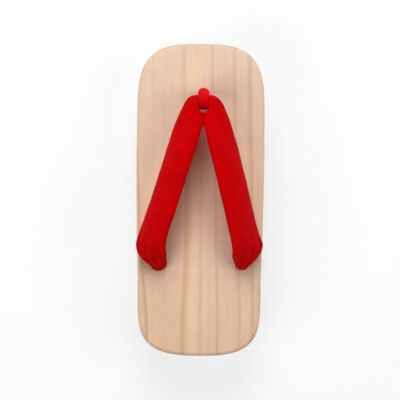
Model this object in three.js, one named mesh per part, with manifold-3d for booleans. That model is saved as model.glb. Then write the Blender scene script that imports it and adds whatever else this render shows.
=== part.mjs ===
// A left geta: a wooden block on two teeth, with a stuffed cloth thong held in three holes.
// Millimetres. +Y points to the toe, +X to the inner side of the foot, +Z up, z = 0 at the ground.
import * as THREE from "three";
import { mergeVertices } from "three/addons/utils/BufferGeometryUtils.js";
import Module from "manifold-3d";

// The block.
const LENGTH = 235;
const TOP = 48; // height of the footbed at the toe and the heel
const SAG = 1.6; // how far the footbed dips along its middle
const TOE_CAP = { start: 50, side: 48.1, along: 4.4, across: 3.15 };
const HEEL_CAP = { start: -60, side: 46.4, along: 5, across: 2.8 };
const SIDE = [
  { y: -60, half: 46.4 },
  { y: -25, half: 47.6 },
  { y: 10, half: 48.1 },
  { y: 35, half: 48.25 },
  { y: 50, half: 48.1 },
];
const CAP_STEPS = 15;
const EDGE_ROUND = 3; // radius of the footbed's edge
const SIDE_TAPER = 2; // how far the sides draw in down to the ground
const EDGE_STEPS = 4;

// The underside, as a side view.
const BOARD_BOTTOM = 30;
const TOE_BOTTOM = 35.5;
const HEEL_BOTTOM = 33.5;
const FRONT_TOOTH = { rear: 41, front: 66 };
const REAR_TOOTH = { rear: -85, front: -60 };
const TOOTH_SPLAY = 1.5; // how far each tooth face leans out, root to foot
const ROOT_FILLET = 6;
const FOOT_CHAMFER = 1.2;
const FILLET_STEPS = 6;

// The holes, and the gap kept between pieces that touch.
const HOLE_RADIUS = 5;
const FRONT_HOLE = { x: 1.9, y: 77.5 };
const LEFT_HOLE = { x: -30.2, y: -48.6 };
const RIGHT_HOLE = { x: 32.4, y: -47.7 };
const GAP = 0.3;

// The thong's centre line from the outer rear hole, round the toe post, to the inner rear hole.
// rise: over the footbed. heading: degrees from +Y towards +X. tilt: how far the inner edge is up.
const THONG = [
  { x: -30.2, y: -48.5, rise: -4, heading: -14, width: 8.8, thick: 8.8, tilt: 0 },
  { x: -30.4, y: -48.3, rise: 1.2, heading: -14, width: 11.6, thick: 10.2, tilt: 0 },
  { x: -31.2, y: -46.8, rise: 5.6, heading: -10, width: 13.2, thick: 10.8, tilt: 8 },
  { x: -34.7, y: -41.6, rise: 10.2, heading: -5, width: 20.4, thick: 11.4, tilt: 22 },
  { x: -35.7, y: -35.6, rise: 14, heading: 4, width: 25.2, thick: 11.8, tilt: 34 },
  { x: -34.6, y: -28, rise: 17.8, heading: 12, width: 24.8, thick: 11.6, tilt: 38 },
  { x: -32, y: -19, rise: 21.2, heading: 16, width: 24.4, thick: 11.4, tilt: 40 },
  { x: -27.7, y: -6, rise: 24.6, heading: 16.5, width: 24.2, thick: 11.3, tilt: 40 },
  { x: -23.6, y: 7, rise: 26, heading: 16.7, width: 24.2, thick: 11.2, tilt: 40 },
  { x: -19.5, y: 20, rise: 26.2, heading: 16.7, width: 24.2, thick: 11.2, tilt: 40 },
  { x: -15.6, y: 33, rise: 25.4, heading: 16.5, width: 24.6, thick: 11.2, tilt: 40 },
  { x: -11.9, y: 45, rise: 24.2, heading: 16, width: 24.2, thick: 11.2, tilt: 37 },
  { x: -8.5, y: 56, rise: 22.8, heading: 14, width: 22.2, thick: 11, tilt: 31 },
  { x: -5.8, y: 64.4, rise: 21.8, heading: 14, width: 19.4, thick: 10.8, tilt: 23 },
  { x: -3.9, y: 71.8, rise: 21.6, heading: 44, width: 12.8, thick: 11, tilt: 15 },
  { x: 1.9, y: 74.4, rise: 20.6, heading: 90, width: 7.8, thick: 7.6, tilt: 8 },
  { x: 7.7, y: 71.8, rise: 21.6, heading: 136, width: 12.8, thick: 11, tilt: 15 },
  { x: 9.6, y: 64.4, rise: 21.8, heading: 166, width: 19.4, thick: 10.8, tilt: 23 },
  { x: 12.1, y: 56, rise: 22.8, heading: 166, width: 22, thick: 11, tilt: 31 },
  { x: 15.1, y: 45, rise: 24.2, heading: 165, width: 23.9, thick: 11.2, tilt: 37 },
  { x: 18.4, y: 33, rise: 25.4, heading: 165.5, width: 25, thick: 11.2, tilt: 40 },
  { x: 21.8, y: 20, rise: 26.2, heading: 166, width: 25.1, thick: 11.2, tilt: 40 },
  { x: 25.2, y: 7, rise: 26, heading: 166, width: 25.2, thick: 11.2, tilt: 40 },
  { x: 28.3, y: -6, rise: 24.6, heading: 166, width: 25.2, thick: 11.3, tilt: 40 },
  { x: 31.3, y: -19, rise: 21.2, heading: 166.5, width: 25.1, thick: 11.4, tilt: 40 },
  { x: 33.7, y: -28, rise: 17.8, heading: 168, width: 25, thick: 11.6, tilt: 38 },
  { x: 35.4, y: -35.6, rise: 14, heading: 176, width: 25.2, thick: 11.8, tilt: 34 },
  { x: 34.1, y: -41.6, rise: 10.2, heading: 185, width: 19.4, thick: 11.4, tilt: 22 },
  { x: 32.1, y: -46.2, rise: 5.6, heading: 190, width: 12.2, thick: 10.4, tilt: 8 },
  { x: 32.3, y: -47.4, rise: 1.2, heading: 194, width: 10.8, thick: 9.8, tilt: 0 },
  { x: 32.4, y: -47.5, rise: -4, heading: 194, width: 8.8, thick: 8.8, tilt: 0 },
];
const THONG_SUBSTEPS = 3;
const THONG_SIDES = 28;
const PILLOW = { power: 2.4, top: 0.56 }; // section shape, and the part of it above its middle
const EYE_REAR = 64.6; // behind this the two halves of the thong press together

// The toe loop: a band from the front hole, over the thong's fold and back, front leg first.
const LOOP = [
  { y: 79.5, rise: -4, width: 7.6, thick: 4.1 },
  { y: 79.5, rise: 2.5, width: 8, thick: 4.3 },
  { y: 79.5, rise: 7, width: 8.4, thick: 5 },
  { y: 79.6, rise: 12, width: 8.7, thick: 6 },
  { y: 79.5, rise: 17, width: 8.8, thick: 6.9 },
  { y: 79.1, rise: 21.2, width: 8.8, thick: 7 },
  { y: 77.6, rise: 24.9, width: 8.6, thick: 5.4 },
  { y: 74.4, rise: 26.7, width: 8.4, thick: 4.3 },
  { y: 71.1, rise: 25.3, width: 8.6, thick: 3.8 },
  { y: 69.2, rise: 21.8, width: 8.8, thick: 3.2 },
  { y: 69.4, rise: 17.3, width: 8.6, thick: 3 },
  { y: 71.7, rise: 12.3, width: 8.2, thick: 3.2 },
  { y: 74.3, rise: 7.5, width: 8, thick: 3.8 },
  { y: 75.5, rise: 2.5, width: 8, thick: 4.1 },
  { y: 75.5, rise: -4, width: 7.6, thick: 4.1 },
];
const LOOP_SIDES = 20;

// The cords, tied under the board.
const CORD_RADIUS = 2.4;
const CORD_TOP = TOP - SAG - 5;
const KNOT = { across: 6.2, high: 4.8 };
const REAR_RUN = 25; // height of the rear cord under the board
const FRONT_KNOT = 24.6;
const TAIL = 11;

const COLOURS = {
  wood: 0xe2c2a2,
  thong_cloth: 0xc00a10,
  cord: 0xd9cdb4,
};

const wasm = await Module();
wasm.setup();

const mix = (a, b, t) => a + (b - a) * t;

// One value of a uniform cubic through the table's rows, at row number s.
function cubic(rows, key, s) {
  const last = rows.length - 1;
  const i = Math.min(Math.floor(s), last - 1);
  const t = s - i;
  const [a, b, c, d] = [i - 1, i, i + 1, i + 2].map((k) => rows[Math.min(Math.max(k, 0), last)][key]);
  return b + 0.5 * t * (c - a + t * (2 * a - 5 * b + 4 * c - d + t * (3 * (b - c) + d - a)));
}

// A whole row of the table at row number s.
function rowAt(rows, s) {
  return Object.fromEntries(Object.keys(rows[0]).map((key) => [key, cubic(rows, key, s)]));
}

// A closed skin over rings of points, each ring mirrored about its first and middle points.
function skin(rings) {
  const count = rings[0].length;
  const vertProperties = new Float32Array(rings.flat().flatMap((p) => [p.x, p.y, p.z]));
  const faces = [];
  for (let k = 0; k + 1 < rings.length; k += 1) {
    for (let i = 0; i < count; i += 1) {
      const j = (i + 1) % count;
      const [a, b, c, d] = [k * count + i, k * count + j, (k + 1) * count + j, (k + 1) * count + i];
      faces.push([a, b, c], [a, c, d]);
    }
  }
  const end = (rings.length - 1) * count;
  for (let i = 0; i < count / 2; i += 1) {
    const [a, b, c, d] = [i, i + 1, (count - i - 1) % count, (count - i) % count];
    if (b !== c) {
      faces.push([c, b, a], [end + a, end + b, end + c]);
    }
    if (a !== d) {
      faces.push([d, c, a], [end + a, end + c, end + d]);
    }
  }
  const made = new wasm.Manifold(
    new wasm.Mesh({ numProp: 3, vertProperties, triVerts: new Uint32Array(faces.flat()) }),
  );
  if (made.volume() > 0) {
    return made;
  }
  const triVerts = new Uint32Array(faces.flatMap(([a, b, c]) => [a, c, b]));
  return new wasm.Manifold(new wasm.Mesh({ numProp: 3, vertProperties, triVerts }));
}

// A three.js geometry as a solid.
function solidOf(geometry) {
  const bare = geometry.clone();
  bare.deleteAttribute("normal");
  bare.deleteAttribute("uv");
  const merged = mergeVertices(bare, 1e-4);
  return new wasm.Manifold(
    new wasm.Mesh({
      numProp: 3,
      vertProperties: merged.attributes.position.array,
      triVerts: new Uint32Array(merged.index.array),
    }),
  );
}

// A solid as a named mesh with its own material.
function meshOf(solid, name, slot, roughness) {
  const { vertProperties, triVerts } = solid.getMesh();
  const geometry = new THREE.BufferGeometry();
  geometry.setAttribute("position", new THREE.BufferAttribute(new Float32Array(vertProperties), 3));
  geometry.setIndex(new THREE.BufferAttribute(new Uint32Array(triVerts), 1));
  geometry.computeVertexNormals();
  const material = new THREE.MeshStandardMaterial({ color: COLOURS[slot], roughness });
  material.name = slot;
  const mesh = new THREE.Mesh(geometry, material);
  mesh.name = name;
  return mesh;
}

// Height of the footbed at a place along the sandal.
function footbed(y) {
  return TOP - SAG * Math.cos((Math.min(Math.abs(y), LENGTH / 2) / (LENGTH / 2)) * (Math.PI / 2)) ** 2;
}

// The right half of the plan outline, toe tip to heel tip.
function halfOutline() {
  const points = [];
  const cap = ({ start, side, along, across }, reach, angle) => ({
    x: side * Math.sin(angle) ** (2 / across),
    y: start + reach * Math.cos(angle) ** (2 / along),
  });
  for (let i = 0; i < CAP_STEPS; i += 1) {
    const angle = (Math.PI / 2) * (i / CAP_STEPS) ** 1.25;
    points.push(cap(TOE_CAP, LENGTH / 2 - TOE_CAP.start, angle));
  }
  for (let i = SIDE.length - 1; i >= 0; i -= 1) {
    points.push({ x: SIDE[i].half, y: SIDE[i].y });
  }
  for (let i = CAP_STEPS - 1; i >= 0; i -= 1) {
    const angle = (Math.PI / 2) * (i / CAP_STEPS) ** 1.25;
    points.push(cap(HEEL_CAP, -LENGTH / 2 - HEEL_CAP.start, angle));
  }
  points[0].x = 0;
  points[points.length - 1].x = 0;
  return points;
}

// The whole outline drawn in by a distance, clockwise from the toe tip.
function outline(inset) {
  const half = halfOutline();
  const moved = half.map((p, i) => {
    const before = half[i - 1] ?? { x: -half[1].x, y: half[1].y };
    const after = half[i + 1] ?? { x: -half[half.length - 2].x, y: half[half.length - 2].y };
    const along = new THREE.Vector2(after.x - before.x, after.y - before.y).normalize();
    return { x: Math.max(p.x + along.y * inset, 0), y: p.y - along.x * inset };
  });
  const mirrored = moved.slice(1, -1).reverse().map(({ x, y }) => ({ x: -x, y }));
  return [...moved, ...mirrored];
}

// The block before its teeth are cut: straight-sided, with the dipped footbed and its round edge.
function blank() {
  const ring = (inset, level) => outline(inset).map(({ x, y }) => new THREE.Vector3(x, y, level(y)));
  const rings = [ring(SIDE_TAPER, () => -2), ring(EDGE_ROUND * 0.1, () => TOP * 0.55)];
  for (let i = 0; i <= EDGE_STEPS; i += 1) {
    const angle = (Math.PI / 2) * (i / EDGE_STEPS);
    const drop = EDGE_ROUND * (1 - Math.sin(angle));
    rings.push(ring(EDGE_ROUND * (1 - Math.cos(angle)), (y) => footbed(y) - drop));
  }
  return skin(rings);
}

// One side of a tooth, root to ground, with its fillet. face: -1 for a rear face, 1 for a front one.
function toothSide(y, root, face) {
  const points = [];
  for (let i = 0; i <= FILLET_STEPS; i += 1) {
    const angle = (Math.PI / 2) * (i / FILLET_STEPS);
    points.push([
      y + face * ROOT_FILLET * (1 - Math.sin(angle)),
      root - ROOT_FILLET * (1 - Math.cos(angle)),
    ]);
  }
  points.push([y + face * TOOTH_SPLAY, FOOT_CHAMFER]);
  points.push([y + face * (TOOTH_SPLAY - FOOT_CHAMFER), 0]);
  return points;
}

// The side view of the underside, run across the block.
function underside() {
  const reach = LENGTH / 2 + 5;
  const side = [
    [-reach, TOP + 20],
    [-reach, HEEL_BOTTOM],
    ...toothSide(REAR_TOOTH.rear, BOARD_BOTTOM, -1),
    ...toothSide(REAR_TOOTH.front, BOARD_BOTTOM, 1).reverse(),
    ...toothSide(FRONT_TOOTH.rear, BOARD_BOTTOM, -1),
    ...toothSide(FRONT_TOOTH.front, BOARD_BOTTOM, 1).reverse(),
    [reach, TOE_BOTTOM],
    [reach, TOP + 20],
  ];
  const shape = new THREE.Shape(side.map(([y, z]) => new THREE.Vector2(y, z)));
  const run = new THREE.ExtrudeGeometry(shape, { depth: 120, bevelEnabled: false });
  run.applyMatrix4(
    new THREE.Matrix4().makeBasis(
      new THREE.Vector3(0, 1, 0),
      new THREE.Vector3(0, 0, 1),
      new THREE.Vector3(1, 0, 0),
    ),
  );
  run.translate(-60, 0, 0);
  return solidOf(run);
}

function hole({ x, y }, radius) {
  return wasm.Manifold.cylinder(TOP + 10, radius, radius, 32).translate([x, y, -5]);
}

function soleBlock(radius) {
  let block = blank().intersect(underside());
  for (const place of [FRONT_HOLE, LEFT_HOLE, RIGHT_HOLE]) {
    block = block.subtract(hole(place, radius));
  }
  return block;
}

// A soft oblong section: points round its middle, first on its inner edge.
function pillow(width, thick, sides, { power, top }) {
  return Array.from({ length: sides }, (_, i) => {
    const angle = (i / sides) * Math.PI * 2;
    const [c, s] = [Math.cos(angle), Math.sin(angle)];
    const share = s > 0 ? top : 1 - top;
    return {
      across: (width / 2) * Math.sign(c) * Math.abs(c) ** (2 / power),
      up: thick * share * Math.sign(s) * Math.abs(s) ** (2 / power),
    };
  });
}

// Middle of the thong at row number s.
function thongMiddle(s) {
  const { x, y, rise } = rowAt(THONG, s);
  return new THREE.Vector3(x, y, TOP - SAG + rise);
}

// The thong's skin, grown by a clearance.
function thong(clearance) {
  const rings = [];
  const last = THONG.length - 1;
  const steps = last * THONG_SUBSTEPS;
  const bend = last / 2;
  for (let k = 0; k <= steps; k += 1) {
    const s = k / THONG_SUBSTEPS;
    const row = rowAt(THONG, s);
    const ahead = thongMiddle(Math.min(s + 0.05, last)).sub(thongMiddle(Math.max(s - 0.05, 0))).normalize();
    const heading = THREE.MathUtils.degToRad(row.heading);
    const inward = new THREE.Vector3(Math.cos(heading), -Math.sin(heading), 0);
    const outward = new THREE.Vector3().crossVectors(inward, ahead).normalize();
    const tilt = THREE.MathUtils.degToRad(row.tilt);
    const flat = inward.clone().multiplyScalar(Math.cos(tilt)).addScaledVector(outward, Math.sin(tilt));
    const crown = outward.clone().multiplyScalar(Math.cos(tilt)).addScaledVector(inward, -Math.sin(tilt));
    const middle = thongMiddle(s);
    const section = pillow(row.width + 2 * clearance, row.thick + 2 * clearance, THONG_SIDES, PILLOW);
    rings.push(
      section.map(({ across, up }) => {
        const p = middle.clone().addScaledVector(flat, across).addScaledVector(crown, up);
        if (p.y < EYE_REAR && Math.abs(s - bend) > 1) {
          const wall = FRONT_HOLE.x + (s < bend ? -GAP : GAP) / 2;
          p.x = s < bend ? Math.min(p.x, wall) : Math.max(p.x, wall);
        }
        return p;
      }),
    );
  }
  return skin(rings);
}

// The toe loop, fitted round the thong.
function toeLoop() {
  const rings = [];
  const last = LOOP.length - 1;
  const middle = (s) => {
    const { y, rise } = rowAt(LOOP, s);
    return new THREE.Vector3(FRONT_HOLE.x, y, TOP - SAG + rise);
  };
  for (let k = 0; k <= last * 3; k += 1) {
    const s = k / 3;
    const { width, thick } = rowAt(LOOP, s);
    const ahead = middle(Math.min(s + 0.05, last)).sub(middle(Math.max(s - 0.05, 0))).normalize();
    const out = new THREE.Vector3(0, ahead.z, -ahead.y);
    const section = pillow(width, thick, LOOP_SIDES, { power: 2.05, top: 0.6 });
    rings.push(
      section.map(({ across, up }) => {
        const p = middle(s).addScaledVector(out, up);
        p.x += across;
        return p;
      }),
    );
  }
  return skin(rings).subtract(thong(GAP));
}

// A round cord along a smooth path.
function cord(points, steps) {
  const path = new THREE.CatmullRomCurve3(points.map((p) => new THREE.Vector3(...p)), false, "centripetal");
  const circle = new THREE.Shape().absarc(0, 0, CORD_RADIUS, 0, Math.PI * 2);
  return solidOf(
    new THREE.ExtrudeGeometry(circle, { extrudePath: path, steps, curveSegments: 6, bevelEnabled: false }),
  );
}

// A tight knot, as a plain round lump.
function knot(x, y, z) {
  const { across, high } = KNOT;
  return wasm.Manifold.sphere(1, 24).scale([across, across, high]).translate([x, y, z]);
}

function frontCord() {
  const { x, y } = FRONT_HOLE;
  const down = cord([[x, y, CORD_TOP], [x, y, 34], [x, y, FRONT_KNOT]], 6);
  const low = FRONT_KNOT - 3;
  const tail = cord([[x - TAIL, y + 1, low], [x, y, low + 2], [x + TAIL, y + 2, low]], 10);
  return down.add(knot(x, y, FRONT_KNOT)).add(tail);
}

function rearCord() {
  const [left, right] = [LEFT_HOLE, RIGHT_HOLE];
  const centre = [(left.x + right.x) / 2, left.y + 3, REAR_RUN - 1];
  const run = cord(
    [
      [left.x, left.y, CORD_TOP],
      [left.x, left.y, 34],
      [left.x + 4, left.y + 0.5, REAR_RUN + 1.6],
      [left.x + 14, left.y + 1.6, REAR_RUN],
      centre,
      [right.x - 14, right.y + 1.2, REAR_RUN],
      [right.x - 4, right.y + 0.3, REAR_RUN + 1.6],
      [right.x, right.y, 34],
      [right.x, right.y, CORD_TOP],
    ],
    48,
  );
  const [x, y, z] = centre;
  const tail = cord([[x - 3, y + TAIL, z - 2], [x, y, z - 1], [x + 4, y + TAIL, z - 2]], 12);
  return run.add(knot(x, y, z)).add(tail);
}

const block = soleBlock(HOLE_RADIUS);
const upper = thong(0).subtract(soleBlock(HOLE_RADIUS - GAP).translate([0, 0, GAP]));

const geta = new THREE.Group();
geta.name = "geta";
geta.add(meshOf(block, "sole_block", "wood", 0.65));
geta.add(meshOf(upper, "strap_upper", "thong_cloth", 0.9));
geta.add(meshOf(toeLoop(), "toe_loop", "thong_cloth", 0.9));
geta.add(meshOf(frontCord(), "front_cord", "cord", 0.9));
geta.add(meshOf(rearCord(), "rear_cord", "cord", 0.9));

export default geta;
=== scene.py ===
"""A left geta: a pale wooden block on two teeth, with a stuffed red cloth thong held in three holes.

Metres in Blender; sizes in the tables are millimetres. +Y points to the toe, +X to the inner side
of the foot and +Z up, with the ground at z = 0.
"""

import logging
import math
from dataclasses import dataclass, field
from enum import Enum
from typing import Any, Callable, Sequence

import bmesh
import bpy
import numpy as np
from mathutils import Euler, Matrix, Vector, noise
from mathutils.bvhtree import BVHTree


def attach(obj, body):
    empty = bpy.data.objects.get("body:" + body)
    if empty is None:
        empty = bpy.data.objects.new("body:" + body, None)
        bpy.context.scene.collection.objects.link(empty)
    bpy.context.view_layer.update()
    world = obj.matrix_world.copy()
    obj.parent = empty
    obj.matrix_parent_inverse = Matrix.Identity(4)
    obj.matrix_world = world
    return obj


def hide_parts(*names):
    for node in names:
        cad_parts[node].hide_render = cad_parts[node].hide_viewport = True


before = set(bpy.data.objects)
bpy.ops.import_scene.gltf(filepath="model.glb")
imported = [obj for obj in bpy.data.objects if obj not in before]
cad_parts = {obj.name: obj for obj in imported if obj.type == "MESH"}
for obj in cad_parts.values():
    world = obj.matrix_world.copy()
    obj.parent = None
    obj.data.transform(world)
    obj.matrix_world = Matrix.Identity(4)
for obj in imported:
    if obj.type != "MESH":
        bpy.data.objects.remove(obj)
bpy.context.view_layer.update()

logging.basicConfig(level=logging.INFO, format="%(name)s: %(message)s")
log = logging.getLogger("geta")

MM = 0.001
Colour = tuple[float, float, float]
Ring = np.ndarray


# ---------------------------------------------------------------- tables of sizes


@dataclass(frozen=True)
class ThongRow:
    """One section of the thong: its middle, the way it runs and its padding.

    rise is over the dipped footbed, heading in degrees from +Y towards +X, and tilt is how far
    the inner edge is turned up.
    """

    x: float
    y: float
    rise: float
    heading: float
    width: float
    thick: float
    tilt: float


@dataclass(frozen=True)
class LoopRow:
    """One section of the toe loop's band, in the plane through the front hole."""

    y: float
    rise: float
    width: float
    thick: float


@dataclass(frozen=True)
class Crease:
    """A listed fold: where it lies on a lofted piece, and how deep and long it is.

    row counts along the table, angle goes round the section in degrees from the inner edge over
    the crown, and lean is how many degrees the fold drifts round in one row.
    """

    row: float
    angle: float
    reach: float
    width: float
    depth: float
    lean: float = 0.0


@dataclass(frozen=True)
class GrainLine:
    """A dark growth line of the board.

    toe, middle and heel are its places across at y = 100, -20 and -100, left and right are how far
    it fades out on its two sides, and the last three are its strength at the toe and the heel and
    how much it leans to ochre.
    """

    toe: float
    middle: float
    heel: float
    left: float
    right: float
    toe_strength: float
    heel_strength: float
    ochre: float = 0.0


THONG_ROWS: tuple[ThongRow, ...] = (
    ThongRow(-30.2, -48.5, -4, -14, 8.8, 8.8, 0),
    ThongRow(-30.4, -48.3, 1.2, -14, 11.6, 10.2, 0),
    ThongRow(-31.2, -46.8, 5.6, -10, 13.2, 10.8, 8),
    ThongRow(-34.7, -41.6, 10.2, -5, 20.4, 11.4, 22),
    ThongRow(-35.7, -35.6, 14, 4, 25.2, 11.8, 34),
    ThongRow(-34.6, -28, 17.8, 12, 24.8, 11.6, 38),
    ThongRow(-32, -19, 21.2, 16, 24.4, 11.4, 40),
    ThongRow(-27.7, -6, 24.6, 16.5, 24.2, 11.3, 40),
    ThongRow(-23.6, 7, 26, 16.7, 24.2, 11.2, 40),
    ThongRow(-19.5, 20, 26.2, 16.7, 24.2, 11.2, 40),
    ThongRow(-15.6, 33, 25.4, 16.5, 24.6, 11.2, 40),
    ThongRow(-11.9, 45, 24.2, 16, 24.2, 11.2, 37),
    ThongRow(-8.5, 56, 22.8, 14, 22.2, 11, 31),
    ThongRow(-5.8, 64.4, 21.8, 14, 19.4, 10.8, 23),
    ThongRow(-3.9, 71.8, 21.6, 44, 12.8, 11, 15),
    ThongRow(1.9, 74.4, 20.6, 90, 7.8, 7.6, 8),
    ThongRow(7.7, 71.8, 21.6, 136, 12.8, 11, 15),
    ThongRow(9.6, 64.4, 21.8, 166, 19.4, 10.8, 23),
    ThongRow(12.1, 56, 22.8, 166, 22, 11, 31),
    ThongRow(15.1, 45, 24.2, 165, 23.9, 11.2, 37),
    ThongRow(18.4, 33, 25.4, 165.5, 25, 11.2, 40),
    ThongRow(21.8, 20, 26.2, 166, 25.1, 11.2, 40),
    ThongRow(25.2, 7, 26, 166, 25.2, 11.2, 40),
    ThongRow(28.3, -6, 24.6, 166, 25.2, 11.3, 40),
    ThongRow(31.3, -19, 21.2, 166.5, 25.1, 11.4, 40),
    ThongRow(33.7, -28, 17.8, 168, 25, 11.6, 38),
    ThongRow(35.4, -35.6, 14, 176, 25.2, 11.8, 34),
    ThongRow(34.1, -41.6, 10.2, 185, 19.4, 11.4, 22),
    ThongRow(32.1, -46.2, 5.6, 190, 12.2, 10.4, 8),
    ThongRow(32.3, -47.4, 1.2, 194, 10.8, 9.8, 0),
    ThongRow(32.4, -47.5, -4, 194, 8.8, 8.8, 0),
)
BEND = 15

LOOP_ROWS: tuple[LoopRow, ...] = (
    LoopRow(79.5, -4, 7.6, 4.1),
    LoopRow(79.5, 2.5, 8, 4.3),
    LoopRow(79.5, 7, 8.4, 5),
    LoopRow(79.6, 12, 8.7, 6),
    LoopRow(79.5, 17, 8.8, 6.9),
    LoopRow(79.1, 21.2, 8.8, 7),
    LoopRow(77.6, 24.9, 8.6, 5.4),
    LoopRow(74.4, 26.7, 8.4, 4.3),
    LoopRow(71.1, 25.3, 8.6, 3.8),
    LoopRow(69.2, 21.8, 8.8, 3.2),
    LoopRow(69.4, 17.3, 8.6, 3),
    LoopRow(71.7, 12.3, 8.2, 3.2),
    LoopRow(74.3, 7.5, 8, 3.8),
    LoopRow(75.5, 2.5, 8, 4.1),
    LoopRow(75.5, -4, 7.6, 4.1),
)

THONG_CREASES: tuple[Crease, ...] = (
    # Gathers on the two shoulders, running into the toe loop.
    Crease(13.9, 58, 0.9, 8, 1.0, 14),
    Crease(13.8, 92, 1.1, 8, 1.1, 6),
    Crease(14.0, 126, 0.9, 8, 0.85, -8),
    Crease(13.7, 24, 0.9, 9, 0.7, 10),
    Crease(16.1, 54, 0.9, 8, 0.95, -12),
    Crease(16.2, 88, 1.2, 8, 1.1, -5),
    Crease(16.0, 122, 0.9, 8, 0.85, 9),
    Crease(16.3, 24, 0.9, 9, 0.7, -10),
    # Folds where the thong turns down into the rear holes.
    Crease(3.5, 66, 1.2, 9, 1.2, -6),
    Crease(3.2, 100, 1.2, 9, 1.2, -8),
    Crease(3.9, 132, 1.2, 9, 1.2, -7),
    Crease(2.8, 30, 0.9, 10, 0.6, 6),
    Crease(26.6, 64, 1.2, 9, 1.2, 6),
    Crease(26.9, 102, 1.2, 9, 1.2, 8),
    Crease(26.1, 134, 1.2, 9, 1.25, 7),
    Crease(27.2, 30, 0.9, 10, 0.6, -6),
    # The turned-under outer edges above the rear holes.
    Crease(3.1, 164, 1.2, 7, 1.1, 0),
    Crease(26.9, 164, 1.2, 7, 1.1, 0),
    # Slack dimples along the two straps.
    Crease(6.2, 120, 0.8, 26, 0.25, 10),
    Crease(10.4, 100, 0.9, 30, 0.2, -12),
    Crease(19.8, 95, 0.9, 30, 0.2, 12),
    Crease(23.9, 118, 0.8, 26, 0.25, -10),
)

LOOP_CREASES: tuple[Crease, ...] = (
    Crease(6.2, 70, 2.2, 16, 0.3, 3),
    Crease(7.4, 115, 2.0, 15, 0.3, -4),
    Crease(4.0, 95, 1.6, 14, 0.22, 0),
    Crease(2.2, 60, 1.4, 16, 0.25, 5),
)

GRAIN_LINES: tuple[GrainLine, ...] = (
    GrainLine(-13.2, -9.6, -12.6, 2.2, 2.4, 0.75, 0.0, 0.3),
    GrainLine(-12.2, -10.5, -13.0, 2.2, 5.8, 0.0, 0.85, 0.9),
    GrainLine(8.1, 12.2, 13.8, 1.6, 1.9, 0.85, 1.0),
    GrainLine(24.9, 28.6, 30.4, 2.6, 1.8, 0.9, 0.6, 0.3),
    GrainLine(37.0, 39.4, 41.2, 4.4, 1.6, 1.15, 1.0),
    GrainLine(0.8, 0.9, 0.7, 2.2, 2.0, 0.0, 0.42),
    GrainLine(-3.6, -3.4, -3.0, 1.8, 1.5, 0.28, 0.1),
    GrainLine(-52.0, -45.0, -39.4, 2.4, 1.7, 0.0, 1.35, 0.8),
    GrainLine(-36.5, -35.8, -35.0, 2.0, 2.0, 0.3, 0.08),
    GrainLine(-27.5, -26.5, -25.6, 3.4, 2.6, 0.12, 0.2),
    GrainLine(17.6, 20.2, 21.6, 2.6, 2.0, 0.16, 0.25, 0.4),
)


# ---------------------------------------------------------------- small tools


def linear(red: float, green: float, blue: float) -> Colour:
    """Turns a display colour into a linear one.

    Args:
        red: Red, 0 to 255.
        green: Green, 0 to 255.
        blue: Blue, 0 to 255.

    Returns:
        The linear colour, 0 to 1.
    """

    def one(value: float) -> float:
        """Turns one channel."""
        share = value / 255
        return share / 12.92 if share <= 0.04045 else ((share + 0.055) / 1.055) ** 2.4

    return one(red), one(green), one(blue)


def through(a: Any, b: Any, c: Any, d: Any, t: float) -> Any:
    """Gives the smooth cubic that runs from b to c, with a and d beyond them, at a share t."""
    return b + 0.5 * t * (c - a + t * (2 * a - 5 * b + 4 * c - d + t * (3 * (b - c) + d - a)))


def cubic(rows: Sequence[Any], key: str, place: float) -> float:
    """Reads a table's column at a row number, on a smooth cubic.

    Args:
        rows: The table's rows.
        key: The column's name.
        place: The row number, with its fraction.

    Returns:
        The value there.
    """
    last = len(rows) - 1
    start = min(int(place), last - 1)
    near = (getattr(rows[min(max(k, 0), last)], key) for k in range(start - 1, start + 3))
    return through(*near, place - start)


def unit(vector: np.ndarray) -> np.ndarray:
    """Scales a vector to length one."""
    return vector / np.linalg.norm(vector)


def new_object(name: str, verts: np.ndarray, faces: Sequence[Sequence[int]]) -> bpy.types.Object:
    """Makes a smooth-shaded mesh object from points in millimetres.

    Args:
        name: The object's name.
        verts: The points, one a row.
        faces: The faces, as point numbers.

    Returns:
        The new object, linked into the scene.
    """
    mesh = bpy.data.meshes.new(name)
    mesh.from_pydata((np.asarray(verts) * MM).tolist(), [], [list(f) for f in faces])
    mesh.validate()
    mesh.shade_smooth()
    made = bpy.data.objects.new(name, mesh)
    bpy.context.scene.collection.objects.link(made)
    return made


def skin(rings: Sequence[Ring]) -> tuple[np.ndarray, list[tuple[int, ...]]]:
    """Closes a skin over rings of points, each mirrored about its first and middle points.

    Args:
        rings: The rings, each an array of points.

    Returns:
        The points and the faces.
    """
    count = len(rings[0])
    faces: list[tuple[int, ...]] = []
    for k in range(len(rings) - 1):
        base = k * count
        for i in range(count):
            j = (i + 1) % count
            faces.append((base + i, base + j, base + count + j, base + count + i))
    end = (len(rings) - 1) * count
    for i in range(count // 2):
        corners = dict.fromkeys((i, i + 1, (count - i - 1) % count, (count - i) % count))
        faces.append(tuple(reversed(corners)))
        faces.append(tuple(end + corner for corner in corners))
    return np.concatenate(rings), faces


def facing_out(made: bpy.types.Object) -> None:
    """Turns a closed mesh's faces outwards.

    Args:
        made: The object.
    """
    work = bmesh.new()
    work.from_mesh(made.data)
    bmesh.ops.recalc_face_normals(work, faces=work.faces)
    work.to_mesh(made.data)
    work.free()


def apply_modifiers(made: bpy.types.Object) -> None:
    """Replaces an object's mesh with what its modifiers make of it.

    Args:
        made: The object.
    """
    evaluated = made.evaluated_get(bpy.context.evaluated_depsgraph_get())
    mesh = bpy.data.meshes.new_from_object(evaluated)
    made.modifiers.clear()
    made.data = mesh


# ---------------------------------------------------------------- shader nodes


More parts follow.
